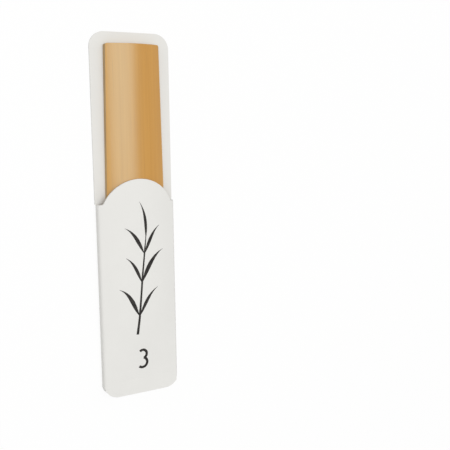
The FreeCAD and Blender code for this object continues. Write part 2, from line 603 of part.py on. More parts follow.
# The films of glue, where the panel's crown no longer changes along the sleeve
side_glue = new_body("side_glue_strip")
panel_inner = (size("card_thickness"), "sizes.card_thickness")
flap_outer = (size("card_thickness") + size("glue_film"), "sizes.card_thickness + sizes.glue_film")
glue_first = (half_width - size("flap_reach") + size("glue_margin"),
              f"{half_width_text} - sizes.flap_reach + sizes.glue_margin")
glue_last = (half_width - size("flap_stub") - size("glue_margin"),
             f"{half_width_text} - sizes.flap_stub - sizes.glue_margin")
even_share = pocket_shares[-1][0]
glue_foot_text = f"{even_share} * sizes.mouth_height + sizes.glue_margin"
side_glue_sketch = draw_band(
    side_glue, "side_glue_section", glue_foot_text, 1.0, panel_inner, flap_outer, glue_first, glue_last,
)
side_film = add_feature(side_glue, "PartDesign::Pad", "side_film", side_glue_sketch)
side_film.setExpression("Length", f"{flap_head_text} - sizes.glue_margin - ({glue_foot_text})")

foot_glue = new_body("bottom_glue_strip")
foot_glue_sketch = new_sketch(foot_glue, "bottom_glue_outline", "XZ_Plane",
                              f"{foot_crown_text} - sizes.card_thickness - sizes.glue_film")
glue_half = edge_x - bend - size("tuck_inset") - size("glue_margin")
glue_low = tuck_bend + size("glue_margin") / 2
glue_high = tuck_z - size("glue_margin") / 2
film_low = add_line(foot_glue_sketch, (-glue_half, glue_low), (glue_half, glue_low))
film_right = add_line(foot_glue_sketch, (glue_half, glue_low), (glue_half, glue_high))
film_high = add_line(foot_glue_sketch, (glue_half, glue_high), (-glue_half, glue_high))
film_left = add_line(foot_glue_sketch, (-glue_half, glue_high), (-glue_half, glue_low))
join(foot_glue_sketch, film_low, 2, film_right, 1, False)
join(foot_glue_sketch, film_right, 2, film_high, 1, False)
join(foot_glue_sketch, film_high, 2, film_left, 1, False)
join(foot_glue_sketch, film_left, 2, film_low, 1, False)
for item in (film_low, film_high):
    foot_glue_sketch.addConstraint(Sketcher.Constraint("Horizontal", item))
for item in (film_left, film_right):
    foot_glue_sketch.addConstraint(Sketcher.Constraint("Vertical", item))
glue_half_text = f"({sleeve_width_text} / 2 - sizes.corner_radius - sizes.tuck_inset - sizes.glue_margin)"
bind(foot_glue_sketch, "right_x", "DistanceX", (-1, 1, film_low, 2), glue_half_text)
bind(foot_glue_sketch, "left_x", "DistanceX", (film_low, 1, -1, 1), glue_half_text)
bind(foot_glue_sketch, "low_z", "DistanceY", (-1, 1, film_low, 1),
     "sizes.tuck_fold_radius + sizes.glue_margin / 2")
bind(foot_glue_sketch, "high_z", "DistanceY", (-1, 1, film_high, 1),
     "sizes.tuck_height - sizes.glue_margin / 2")

# The film is flat and the front panel's inner face bends a little towards it, so it is thinner by that sag.
foot_rim_text = f"({crown_radius_expression(reach_expression(0.0))} - sizes.card_thickness)"
foot_sag_text = f"({foot_rim_text} - sqrt({foot_rim_text}^2 - {glue_half_text}^2))"
foot_film = add_feature(foot_glue, "PartDesign::Pad", "bottom_film", foot_glue_sketch)
foot_film.setExpression("Length", f"sizes.glue_film - {foot_sag_text}")

# The reed: a strip of the cane tube's wall, flat behind and with the bark's own curve in front
reed = new_body("cane_reed")
blank_sketch = new_sketch(reed, "split_section", "XY_Plane", "sizes.reed_foot")
bark = bark_radius
flat_y = -size("reed_gap")
bark_y = flat_y - size("reed_thickness") + bark
chord = math.sqrt(bark ** 2 - (bark_y - flat_y) ** 2)
chord_angle = math.degrees(math.atan2(flat_y - bark_y, chord)) % 360
blank_arc = add_arc(blank_sketch, (0, bark_y), bark, 540 - chord_angle, chord_angle)
blank_flat = add_line(blank_sketch, (chord, flat_y), (-chord, flat_y))
join(blank_sketch, blank_arc, 2, blank_flat, 1, False)
join(blank_sketch, blank_flat, 2, blank_arc, 1, False)
blank_sketch.addConstraint(Sketcher.Constraint("Horizontal", blank_flat))
on_vertical_axis(blank_sketch, blank_arc, 3)
bind(blank_sketch, "bark", "Radius", (blank_arc,), bark_radius_text)
bind(blank_sketch, "bark_y", "DistanceY", (-1, 1, blank_arc, 3),
     f"{bark_radius_text} - sizes.reed_thickness - sizes.reed_gap")
bind(blank_sketch, "flat_y", "DistanceY", (blank_flat, 1, -1, 1), "sizes.reed_gap")
blank = add_feature(reed, "PartDesign::Pad", "split_strip", blank_sketch)
blank.setExpression("Length", "sizes.reed_length")
doc.recompute()

# Its sides are planed to a taper that widens from the heel to the bowed tip.
taper_sketch = new_sketch(reed, "taper_outline", "XZ_Plane")
reed_low = size("reed_foot")
reed_high = reed_low + size("reed_length")
heel_half = heel_width / 2
tip_half = size("tip_width") / 2
heel_bend = size("heel_corner_radius")
tip_bend = size("tip_corner_radius")
bow_height = size("tip_bow")
tip_round = (tip_half ** 2 + bow_height ** 2) / (2 * bow_height)
tip_centre = reed_low + tip_round
side_start = (tip_half, reed_low + bow_height)
side_end = (heel_half, reed_high)
run = math.hypot(side_end[0] - side_start[0], side_end[1] - side_start[1])
normal = ((side_end[1] - side_start[1]) / run, (side_start[0] - side_end[0]) / run)
normal_angle = math.degrees(math.atan2(normal[1], normal[0]))
heel_z = reed_high - heel_bend
heel_x = side_start[0] - (heel_bend + normal[1] * (heel_z - side_start[1])) / normal[0]


# The centre of the tip's corner: one radius inside both the side and the bowed tip.
def tip_corner_centre():
    low = 0.0
    high = tip_round
    for _ in range(60):
        z = reed_low + (low + high) / 2
        x = side_start[0] - (tip_bend + normal[1] * (z - side_start[1])) / normal[0]
        if math.hypot(x, z - tip_centre) > tip_round - tip_bend:
            low = z - reed_low
        else:
            high = z - reed_low
    return (x, z)


tip_corner = tip_corner_centre()
tip_angle = angle_of((0, tip_centre), tip_corner)
heel_line = add_line(taper_sketch, (-heel_x, reed_high), (heel_x, reed_high))
heel_right = add_arc(taper_sketch, (heel_x, heel_z), heel_bend, normal_angle, 90)
side_right = add_line(
    taper_sketch,
    (heel_x + heel_bend * normal[0], heel_z + heel_bend * normal[1]),
    (tip_corner[0] + tip_bend * normal[0], tip_corner[1] + tip_bend * normal[1]),
)
tip_right = add_arc(taper_sketch, tip_corner, tip_bend, tip_angle, 360 + normal_angle)
tip_arc = add_arc(taper_sketch, (0, tip_centre), tip_round, 540 - tip_angle, tip_angle)
tip_left = add_arc(taper_sketch, (-tip_corner[0], tip_corner[1]), tip_bend,
                   180 - normal_angle, 540 - tip_angle)
side_left = add_line(
    taper_sketch,
    (-tip_corner[0] - tip_bend * normal[0], tip_corner[1] + tip_bend * normal[1]),
    (-heel_x - heel_bend * normal[0], heel_z + heel_bend * normal[1]),
)
heel_left = add_arc(taper_sketch, (-heel_x, heel_z), heel_bend, 90, 180 - normal_angle)
join(taper_sketch, heel_line, 2, heel_right, 2, True)
join(taper_sketch, heel_right, 1, side_right, 1, True)
join(taper_sketch, side_right, 2, tip_right, 2, True)
join(taper_sketch, tip_right, 1, tip_arc, 2, True)
join(taper_sketch, tip_arc, 1, tip_left, 2, True)
join(taper_sketch, tip_left, 1, side_left, 1, True)
join(taper_sketch, side_left, 2, heel_left, 2, True)
join(taper_sketch, heel_left, 1, heel_line, 1, True)
taper_sketch.addConstraint(Sketcher.Constraint("Horizontal", heel_line))
same_radius(taper_sketch, heel_left, heel_right)
same_radius(taper_sketch, tip_left, tip_right)
on_vertical_axis(taper_sketch, tip_arc, 3)
bind(taper_sketch, "heel_bend", "Radius", (heel_right,), "sizes.heel_corner_radius")
bind(taper_sketch, "tip_bend", "Radius", (tip_right,), "sizes.tip_corner_radius")
tip_text = "((sizes.tip_width / 2)^2 + sizes.tip_bow^2) / (2 * sizes.tip_bow)"
bind(taper_sketch, "tip_round", "Radius", (tip_arc,), tip_text)
bind(taper_sketch, "tip_centre", "DistanceY", (-1, 1, tip_arc, 3), f"sizes.reed_foot + {tip_text}")
bind(taper_sketch, "heel_z", "DistanceY", (-1, 1, heel_line, 1), "sizes.reed_foot + sizes.reed_length")
for side_name, sign, side_line in (("left", -1, side_left), ("right", 1, side_right)):
    for end_name, place, width, level in (
        ("heel", side_end, f"{heel_width_text} / 2", "sizes.reed_foot + sizes.reed_length"),
        ("tip", side_start, "sizes.tip_width / 2", "sizes.reed_foot + sizes.tip_bow"),
    ):
        corner = FreeCAD.Vector(sign * place[0], place[1], 0)
        point = taper_sketch.addGeometry(Part.Point(corner), True)
        refs = (point, 1, -1, 1) if sign < 0 else (-1, 1, point, 1)
        bind(taper_sketch, f"{side_name}_{end_name}_x", "DistanceX", refs, width)
        bind(taper_sketch, f"{side_name}_{end_name}_z", "DistanceY", (-1, 1, point, 1), level)
        taper_sketch.addConstraint(Sketcher.Constraint("PointOnObject", point, 1, side_line))
rim_x = chord + spare
rim_low = add_line(taper_sketch, (-rim_x, reed_low - spare), (rim_x, reed_low - spare))
rim_right = add_line(taper_sketch, (rim_x, reed_low - spare), (rim_x, reed_high + spare))
rim_high = add_line(taper_sketch, (rim_x, reed_high + spare), (-rim_x, reed_high + spare))
rim_left = add_line(taper_sketch, (-rim_x, reed_high + spare), (-rim_x, reed_low - spare))
join(taper_sketch, rim_low, 2, rim_right, 1, False)
join(taper_sketch, rim_right, 2, rim_high, 1, False)
join(taper_sketch, rim_high, 2, rim_left, 1, False)
join(taper_sketch, rim_left, 2, rim_low, 1, False)
for item in (rim_low, rim_high):
    taper_sketch.addConstraint(Sketcher.Constraint("Horizontal", item))
for item in (rim_left, rim_right):
    taper_sketch.addConstraint(Sketcher.Constraint("Vertical", item))
bind(taper_sketch, "rim_left_x", "DistanceX", (rim_low, 1, -1, 1), f"{bark_radius_text} + sizes.overrun")
bind(taper_sketch, "rim_right_x", "DistanceX", (-1, 1, rim_low, 2), f"{bark_radius_text} + sizes.overrun")
bind(taper_sketch, "rim_low_z", "DistanceY", (-1, 1, rim_low, 1), "sizes.reed_foot - sizes.overrun")
bind(taper_sketch, "rim_high_z", "DistanceY", (-1, 1, rim_high, 1),
     "sizes.reed_foot + sizes.reed_length + sizes.overrun")
reed_left_over = blank.Shape.Volume
taper = add_feature(reed, "PartDesign::Pocket", "taper_cut", taper_sketch)
taper.Type = "ThroughAll"
taper.Reversed = True
reed_left_over = checked_cut(reed, taper, reed_left_over)


# One section of what is scraped off the vamp: everything in front of a crowned surface.
def draw_vamp_section(number, distance_share, heart_share, crown_share):
    level = f"sizes.reed_foot + {distance_share} * sizes.vamp_length"
    sketch = new_sketch(reed, f"vamp_section_{number}", "XY_Plane", level)
    reach = tip_half + spare
    depth = size("tip_thickness") + heart_share * (size("reed_thickness") - size("tip_thickness"))
    front = flat_y - depth
    rise = crown_share * size("vamp_crown")
    radius = (reach ** 2 + rise ** 2) / (2 * rise)
    angle = 270 + math.degrees(math.asin(reach / radius))
    away = flat_y - 2 * size("reed_thickness")
    arc = add_arc(sketch, (0, front + radius), radius, 540 - angle, angle)
    right = add_line(sketch, (reach, front + rise), (reach, away))
    outer = add_line(sketch, (reach, away), (-reach, away))
    left = add_line(sketch, (-reach, away), (-reach, front + rise))
    join(sketch, arc, 2, right, 1, False)
    join(sketch, right, 2, outer, 1, False)
    join(sketch, outer, 2, left, 1, False)
    join(sketch, left, 2, arc, 1, False)
    sketch.addConstraint(Sketcher.Constraint("Vertical", right))
    sketch.addConstraint(Sketcher.Constraint("Vertical", left))
    sketch.addConstraint(Sketcher.Constraint("Horizontal", outer))
    on_vertical_axis(sketch, arc, 3)
    reach_text = "(sizes.tip_width / 2 + sizes.overrun)"
    rise_text = f"({crown_share} * sizes.vamp_crown)"
    radius_text = f"({reach_text}^2 + {rise_text}^2) / (2 * {rise_text})"
    depth_text = f"(sizes.tip_thickness + {heart_share} * (sizes.reed_thickness - sizes.tip_thickness))"
    bind(sketch, "surface", "Radius", (arc,), radius_text)
    bind(sketch, "surface_y", "DistanceY", (-1, 1, arc, 3),
         f"{radius_text} - {depth_text} - sizes.reed_gap")
    bind(sketch, "right_x", "DistanceX", (-1, 1, outer, 1), reach_text)
    bind(sketch, "left_x", "DistanceX", (outer, 2, -1, 1), reach_text)
    bind(sketch, "outer_y", "DistanceY", (outer, 1, -1, 1), "sizes.reed_gap + 2 * sizes.reed_thickness")
    return sketch


vamp_sections = []
for number, (distance_share, heart_share, crown_share) in enumerate(vamp_shares):
    vamp_sections.append(draw_vamp_section(number, distance_share, heart_share, crown_share))
vamp = add_feature(reed, "PartDesign::SubtractiveLoft", "vamp_cut", vamp_sections[0])
vamp.Sections = vamp_sections[1:]
reed_left_over = checked_cut(reed, vamp, reed_left_over)

doc.recompute()
for item in doc.Objects:
    if "Invalid" in item.State or "Error" in item.State:
        raise RuntimeError(f"{item.Name} is {item.State}")
os.makedirs("parts", exist_ok=True)
for body in (sleeve, side_glue, foot_glue, reed):
    shape = body.Shape
    if shape.isNull() or not shape.isValid():
        raise RuntimeError(f"{body.Label} has no valid shape")
    print(body.Label, "solids", len(shape.Solids), "volume", round(shape.Volume, 3), "box", shape.BoundBox)
    shape.exportStep(os.path.join("parts", f"{body.Label}.step"))
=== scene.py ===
import math

import bmesh
import bpy
from mathutils import Matrix, Vector, noise
from mathutils.bvhtree import BVHTree
from mathutils.geometry import interpolate_bezier


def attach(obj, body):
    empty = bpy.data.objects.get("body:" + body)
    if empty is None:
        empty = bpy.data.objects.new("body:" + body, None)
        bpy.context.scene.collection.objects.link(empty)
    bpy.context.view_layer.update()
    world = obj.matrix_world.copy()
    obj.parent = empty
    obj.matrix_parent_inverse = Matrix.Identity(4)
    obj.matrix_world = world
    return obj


# A baritone saxophone reed in its card sleeve, lying on its printed back on a white table.
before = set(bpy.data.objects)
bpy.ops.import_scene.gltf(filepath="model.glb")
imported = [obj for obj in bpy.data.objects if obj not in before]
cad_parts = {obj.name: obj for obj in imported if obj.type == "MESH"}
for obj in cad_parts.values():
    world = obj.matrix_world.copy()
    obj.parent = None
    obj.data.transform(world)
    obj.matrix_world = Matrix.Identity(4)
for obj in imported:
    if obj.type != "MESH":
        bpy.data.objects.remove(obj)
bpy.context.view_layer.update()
scene = bpy.context.scene
millimetre = 0.001
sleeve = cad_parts["folded_sleeve"]
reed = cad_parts["cane_reed"]
print("frame loaded", sorted(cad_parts))


# Colours are written as sRGB steps from 0 to 255 and used as linear light.
def toLinear(red, green, blue):
    values = []
    for step in (red, green, blue):
        share = step / 255
        values.append(share / 12.92 if share <= 0.04045 else ((share + 0.055) / 1.055) ** 2.4)
    return (values[0], values[1], values[2], 1.0)


def newMaterial(name):
    material = bpy.data.materials.new(name)
    material.use_nodes = True
    tree = material.node_tree
    return material, tree, tree.nodes["Principled BSDF"]


def addNode(tree, kind, at, **settings):
    node = tree.nodes.new(kind)
    node.location = at
    for key, value in settings.items():
        setattr(node, key, value)
    return node


def feed(tree, socket, value):
    if isinstance(value, (tuple, float, int)):
        socket.default_value = value
    else:
        tree.links.new(value, socket)


# A Mix node has a set of sockets for each kind of value: 6, 7 and 2 are those for colours.
def mixColour(tree, at, mask, under, over):
    node = addNode(tree, "ShaderNodeMix", at, data_type="RGBA")
    for socket, value in ((0, mask), (6, under), (7, over)):
        feed(tree, node.inputs[socket], value)
    return node.outputs[2]


def mathNode(tree, at, operation, first, second=0.0):
    node = addNode(tree, "ShaderNodeMath", at, operation=operation)
    feed(tree, node.inputs[0], first)
    feed(tree, node.inputs[1], second)
    return node.outputs[0]


# A value that runs from one level to another, as a mask or as new numbers.
def spread(tree, at, value, fromLow, fromHigh, toLow=0.0, toHigh=1.0, curve="LINEAR"):
    node = addNode(tree, "ShaderNodeMapRange", at, interpolation_type=curve)
    feed(tree, node.inputs["Value"], value)
    levels = {"From Min": fromLow, "From Max": fromHigh, "To Min": toLow, "To Max": toHigh}
    for name, level in levels.items():
        node.inputs[name].default_value = level
    return node.outputs[0]


def noiseNode(tree, at, vector, scale, detail):
    node = addNode(tree, "ShaderNodeTexNoise", at)
    tree.links.new(vector, node.inputs["Vector"])
    node.inputs["Scale"].default_value = scale
    node.inputs["Detail"].default_value = detail
    return node.outputs["Fac"]


def splitVector(tree, at, vector):
    node = addNode(tree, "ShaderNodeSeparateXYZ", at)
    tree.links.new(vector, node.inputs[0])
    return node.outputs["X"], node.outputs["Y"], node.outputs["Z"]


def addBump(tree, at, shader, height, strength, distance):
    node = addNode(tree, "ShaderNodeBump", at)
    node.inputs["Strength"].default_value = strength
    node.inputs["Distance"].default_value = distance
    tree.links.new(height, node.inputs["Height"])
    tree.links.new(node.outputs["Normal"], shader.inputs["Normal"])


# Fibres and mottle, shared by the card, the glue and the inks.
paperLook = {
    "fibreScale": 900.0,
    "fibreDetail": 4.0,
    "fibreDistortion": 1.2,
    "mottleScale": 120.0,
    "mottleDetail": 3.0,
    "bump": (0.2, 0.00003),
}


def buildPaperFibre():
    group = bpy.data.node_groups.new("paperFibre", "ShaderNodeTree")
    sockets = group.interface
    sockets.new_socket("Vector", in_out="INPUT", socket_type="NodeSocketVector")
    scales = {"Fibre scale": paperLook["fibreScale"], "Mottle scale": paperLook["mottleScale"]}
    for name, value in scales.items():
        socket = sockets.new_socket(name, in_out="INPUT", socket_type="NodeSocketFloat")
        socket.default_value = value
    sockets.new_socket("Height", in_out="OUTPUT", socket_type="NodeSocketFloat")
    sockets.new_socket("Mottle", in_out="OUTPUT", socket_type="NodeSocketFloat")
    entry = addNode(group, "NodeGroupInput", (-700, 0))
    leave = addNode(group, "NodeGroupOutput", (300, 0))
    fibre = addNode(group, "ShaderNodeTexNoise", (-400, 120))
    fibre.inputs["Detail"].default_value = paperLook["fibreDetail"]
    fibre.inputs["Distortion"].default_value = paperLook["fibreDistortion"]
    mottle = addNode(group, "ShaderNodeTexNoise", (-400, -160))
    mottle.inputs["Detail"].default_value = paperLook["mottleDetail"]
    for node, scale in ((fibre, "Fibre scale"), (mottle, "Mottle scale")):
        group.links.new(entry.outputs["Vector"], node.inputs["Vector"])
        group.links.new(entry.outputs[scale], node.inputs["Scale"])
    group.links.new(fibre.outputs["Fac"], leave.inputs["Height"])
    group.links.new(mottle.outputs["Fac"], leave.inputs["Mottle"])
    return group


paperFibre = buildPaperFibre()


# Gives a surface the fibres' bump, and hands back the mottle for its colours.
def addFibre(tree, at, shader, vector, fibreScale, mottleScale):
    node = addNode(tree, "ShaderNodeGroup", at, node_tree=paperFibre)
    tree.links.new(vector, node.inputs["Vector"])
    node.inputs["Fibre scale"].default_value = fibreScale
    node.inputs["Mottle scale"].default_value = mottleScale
    addBump(tree, (-350, -200), shader, node.outputs["Height"], *paperLook["bump"])
    return node.outputs["Mottle"]


# White board, printed green on the outer face of its back panel and round onto the side folds.
cardLook = {
    "white": toLinear(228, 227, 223),
    "shade": toLinear(224, 223, 219),
    "greenHead": toLinear(113, 132, 72),
    "greenFoot": toLinear(97, 117, 44),
    # A lighter green on the back folds: their worn print, and also a painted highlight along them.
    "greenWornHighlight": toLinear(158, 170, 108),
    "fibreScale": 2600.0,
    "mottleScale": 160.0,
    "plainRough": 0.62,
    "printRough": 0.48,
    "gloss": 0.2,
    "printHeight": 0.0008,
    "printFacing": (0.56, 0.66),
    "foldFacing": (0.97, 0.72),
    "foldWearHighlight": (0.0, 0.75),
    "wornHighlightPatches": (0.3, 0.7, 0.6, 1.0),
    "halfLength": 0.0485,
}


def makeCard():
    look = cardLook
    material, tree, shader = newMaterial("sleeveCard")
    place = addNode(tree, "ShaderNodeTexCoord", (-1600, 200))
    spot = place.outputs["Object"]
    mottle = addFibre(tree, (-1300, 300), shader, spot, look["fibreScale"], look["mottleScale"])
    white = mixColour(tree, (-300, 400), mottle, look["shade"], look["white"])
    _, along, height = splitVector(tree, (-1400, 0), spot)
    facing = splitVector(tree, (-1400, -220), place.outputs["Normal"])[2]
    down = mathNode(tree, (-1200, -220), "MULTIPLY", facing, -1.0)
    printed = spread(tree, (-1000, -220), down, *look["printFacing"], curve="SMOOTHSTEP")
    outside = mathNode(tree, (-1200, -420), "LESS_THAN", height, look["printHeight"])
    mask = mathNode(tree, (-800, -300), "MULTIPLY", printed, outside)
    length = spread(tree, (-1000, 40), along, -look["halfLength"], look["halfLength"])
    green = mixColour(tree, (-750, 60), length, look["greenFoot"], look["greenHead"])
    # The folds are lighter green in patches: partly worn print, partly a painted highlight where
    # the folds turn.
    fold = spread(tree, (-1000, -480), down, *look["foldFacing"], *look["foldWearHighlight"],
                  curve="SMOOTHSTEP")
    patches = spread(tree, (-1000, -700), mottle, *look["wornHighlightPatches"])
    rubbedHighlight = mathNode(tree, (-750, -480), "MULTIPLY", fold, patches)
    wornHighlit = mixColour(tree, (-500, 60), rubbedHighlight, green, look["greenWornHighlight"])
    colour = mixColour(tree, (-150, 250), mask, white, wornHighlit)
    tree.links.new(colour, shader.inputs["Base Color"])
    rough = spread(tree, (-500, -100), mask, 0.0, 1.0, look["plainRough"], look["printRough"])
    tree.links.new(rough, shader.inputs["Roughness"])
    shader.inputs["Specular IOR Level"].default_value = look["gloss"]
    return material


# Cane: waxy bark on the crown, pale planed fibre on the sides, the flat and the vamp, and pores
# at the heel. The sides are darkened brown with painted shade. Each noise has its scale and detail,
# each mask the levels that it runs between.
caneLook = {
    "bark": toLinear(208, 148, 55),
    "barkDeep": toLinear(198, 136, 43),
    "barkFleck": toLinear(168, 114, 46),
    "planed": toLinear(222, 190, 138),
    "planedDeep": toLinear(203, 162, 104),
    "vessel": toLinear(168, 124, 72),
    "heelGround": toLinear(198, 158, 102),
    "heelPore": toLinear(138, 96, 52),
    # A darker brown for the sides: painted shade.
    "sideShade": toLinear(164, 124, 78),
    "tubeCentre": 0.0114525,
    "tubeRadius": 0.0155025,
    "barkDepth": (0.00003, 0.000015),
    "endFacing": (0.7, 0.9),
    "sideFacing": (0.6, 0.85),
    "grainStretch": (1.0, 0.018, 0.2),
    "grainNoise": (1500.0, 4.0),
    "bandNoise": (170.0, 2.0),
    "vesselNoise": (3600.0, 1.0),
    "poreScale": 2100.0,
    "grainShare": 0.45,
    "bandShare": 0.55,
    "barkTone": (0.36, 0.64),
    "barkFlecks": (0.66, 0.76, 0.0, 0.28),
    "planedTone": (0.38, 0.62),
    "planedLines": (0.54, 0.68, 0.0, 0.45),
    "heelPores": (0.22, 0.42, 0.85, 0.0),
    "sideShadeTone": (0.36, 0.64, 0.45, 1.0),
    "bump": (0.22, 0.00004),
    "planedRough": 0.6,
    "barkRough": 0.42,
    "wax": (0.3, 0.7, 0.85, 0.95),
    "waxRough": 0.28,
    "waxIndex": 1.5,
    "sheen": 0.7,
    "sheenTint": (0.1, 0.95, 1.0, 1.0),
}


def makeCane():
    look = caneLook
    material, tree, shader = newMaterial("caneFibre")
    place = addNode(tree, "ShaderNodeTexCoord", (-2000, 200))
    spot = place.outputs["Object"]
    stretch = addNode(tree, "ShaderNodeMapping", (-1800, 300))
    stretch.inputs["Scale"].default_value = look["grainStretch"]
    tree.links.new(spot, stretch.inputs["Vector"])
    lengthwise = stretch.outputs[0]
    grain = noiseNode(tree, (-1500, 500), lengthwise, *look["grainNoise"])
    bands = noiseNode(tree, (-1500, 300), lengthwise, *look["bandNoise"])
    vessels = noiseNode(tree, (-1500, 100), lengthwise, *look["vesselNoise"])
    pores = addNode(tree, "ShaderNodeTexVoronoi", (-1500, -100))
    pores.inputs["Scale"].default_value = look["poreScale"]
    tree.links.new(spot, pores.inputs["Vector"])

    # Bark is what still lies at the radius of the tube that the reed was split from.
    across, _, height = splitVector(tree, (-1800, -300), spot)
    lifted = mathNode(tree, (-1600, -400), "ADD", height, look["tubeCentre"])
    acrossSquare = mathNode(tree, (-1400, -300), "MULTIPLY", across, across)
    liftedSquare = mathNode(tree, (-1400, -450), "MULTIPLY", lifted, lifted)
    squares = mathNode(tree, (-1250, -350), "ADD", acrossSquare, liftedSquare)
    radius = mathNode(tree, (-1100, -350), "SQRT", squares)
    inner, outer = (look["tubeRadius"] - depth for depth in look["barkDepth"])
    barkMask = spread(tree, (-950, -350), radius, inner, outer)
    facingX, facingY, _ = splitVector(tree, (-1800, -700), place.outputs["Normal"])
    sideways = mathNode(tree, (-1500, -800), "ABSOLUTE", facingX)
    sideMask = spread(tree, (-1250, -800), sideways, *look["sideFacing"])
    endways = mathNode(tree, (-1500, -600), "ABSOLUTE", facingY)
    endMask = spread(tree, (-1250, -600), endways, *look["endFacing"])

    grainPart = mathNode(tree, (-1400, 450), "MULTIPLY", grain, look["grainShare"])
    bandPart = mathNode(tree, (-1400, 330), "MULTIPLY", bands, look["bandShare"])
    tone = mathNode(tree, (-1250, 400), "ADD", grainPart, bandPart)
    barkTone = spread(tree, (-1080, 450), tone, *look["barkTone"])
    bark = mixColour(tree, (-900, 450), barkTone, look["barkDeep"], look["bark"])
    flecks = spread(tree, (-1080, 200), vessels, *look["barkFlecks"])
    bark = mixColour(tree, (-720, 450), flecks, bark, look["barkFleck"])
    planedTone = spread(tree, (-1080, 60), grain, *look["planedTone"])
    planed = mixColour(tree, (-900, 200), planedTone, look["planedDeep"], look["planed"])
    lines = spread(tree, (-1080, -100), vessels, *look["planedLines"])
    planed = mixColour(tree, (-720, 200), lines, planed, look["vessel"])
    # Painted shade: the sides that face across are darkened towards brown, varied with the grain.
    sideShadeTone = spread(tree, (-1080, -900), grain, *look["sideShadeTone"])
    sideShade = mathNode(tree, (-900, -800), "MULTIPLY", sideMask, sideShadeTone)
    sides = mixColour(tree, (-540, 200), sideShade, planed, look["sideShade"])
    dots = spread(tree, (-900, -60), pores.outputs["Distance"], *look["heelPores"],
                  curve="SMOOTHSTEP")
    ends = mixColour(tree, (-540, 0), dots, look["heelGround"], look["heelPore"])
    cut = mixColour(tree, (-380, 150), endMask, sides, ends)
    colour = mixColour(tree, (-200, 300), barkMask, cut, bark)
    tree.links.new(colour, shader.inputs["Base Color"])

    rough = spread(tree, (-380, -150), barkMask, 0.0, 1.0, look["planedRough"], look["barkRough"])
    tree.links.new(rough, shader.inputs["Roughness"])
    waxBands = spread(tree, (-600, -400), bands, *look["wax"])
    wax = mathNode(tree, (-380, -350), "MULTIPLY", barkMask, waxBands)
    tree.links.new(wax, shader.inputs["Coat Weight"])
    shader.inputs["Coat Roughness"].default_value = look["waxRough"]
    shader.inputs["Coat IOR"].default_value = look["waxIndex"]
    shader.inputs["Specular IOR Level"].default_value = look["sheen"]
    shader.inputs["Specular Tint"].default_value = look["sheenTint"]
    addBump(tree, (-380, -600), shader, grain, *look["bump"])
    return material


# Both films of dried glue.
glueLook = {
    "pale": toLinear(232, 226, 208),
    "deep": toLinear(214, 206, 184),
    "roughness": 0.35,
    "fibreScale": 1800.0,
    "mottleScale": 500.0,
}


def makeGlue():
    look = glueLook
    material, tree, shader = newMaterial("driedGlue")
    place = addNode(tree, "ShaderNodeTexCoord", (-900, 100))
    mottle = addFibre(tree, (-650, 100), shader, place.outputs["Object"],
                      look["fibreScale"], look["mottleScale"])
    base = mixColour(tree, (-350, 160), mottle, look["deep"], look["pale"])
    tree.links.new(base, shader.inputs["Base Color"])
    shader.inputs["Roughness"].default_value = look["roughness"]
    return material


# Ink takes the card's fibre: a little thinner where the mottle is high. Each ink has its full
# colour, its thin colour and its roughness.
inkLook = {
    "mottleScale": 900.0,
    "thinning": (0.35, 0.75),
    "darkInk": (toLinear(38, 36, 34), toLinear(58, 55, 52), 0.5),
    "contourInk": (toLinear(42, 62, 10), toLinear(54, 76, 18), 0.48),
    "whiteInk": (toLinear(236, 236, 232), toLinear(226, 227, 221), 0.5),
}


def makeInk(name):
    full, thin, roughness = inkLook[name]
    material, tree, shader = newMaterial(name)
    place = addNode(tree, "ShaderNodeTexCoord", (-900, 100))
    mottle = addFibre(tree, (-650, 100), shader, place.outputs["Object"],
                      cardLook["fibreScale"], inkLook["mottleScale"])
    thinning = spread(tree, (-450, 160), mottle, *inkLook["thinning"])
    colour = mixColour(tree, (-250, 160), thinning, full, thin)
    tree.links.new(colour, shader.inputs["Base Color"])
    shader.inputs["Roughness"].default_value = roughness
    shader.inputs["Specular IOR Level"].default_value = cardLook["gloss"]
    return material


def dress(piece, material):
    for slot in piece.material_slots:
        slot.material = material
    if not piece.material_slots:
        piece.data.materials.append(material)


dress(sleeve, makeCard())
dress(reed, makeCane())
glue = makeGlue()
dress(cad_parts["side_glue_strip"], glue)
dress(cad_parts["bottom_glue_strip"], glue)
darkInk = makeInk("darkInk")
contourInk = makeInk("contourInk")
whiteInk = makeInk("whiteInk")
print("materials on the four nodes and three inks mixed")


# Print: strokes of ink laid on the card as thin closed strips that follow its surface. These
# measures and all of the print's are in millimetres.
strokeShape = {
    "lift": 0.015,
    "sink": 0.02,
    "lowestFacing": 0.62,
    "searchFrom": 20.0,
    "fewestPoints": 3,
}
cardSurface = BVHTree.FromObject(sleeve, bpy.context.evaluated_depsgraph_get())


# Where a point of the print meets the card from above (side 1) or from below (side -1).
def findCard(x, y, side):
    start = Vector((x, y, strokeShape["searchFrom"] * side)) * millimetre
    hit, normal, _, _ = cardSurface.ray_cast(start, Vector((0.0, 0.0, -side)))
    if hit is None or normal.z * side < strokeShape["lowestFacing"]:
        return None
    return hit, normal


# The stroke's middle and both edges have to lie on the card.
def layPoint(point, heading, halfWidth, side):
    across = Vector((-heading.y, heading.x)) * halfWidth
    found = [findCard(point.x + across.x * k, point.y + across.y * k, side)
             for k in (-1.0, 0.0, 1.0)]
    if None in found:
        return None
    left, middle, right = found
    return (left[0], middle[0], right[0], middle[1])


def headingAt(points, index, closed):
    count = len(points)
    if closed:
        before, after = points[index - 1], points[(index + 1) % count]
    else:
        before, after = points[max(index - 1, 0)], points[min(index + 1, count - 1)]
    return (after - before).normalized()


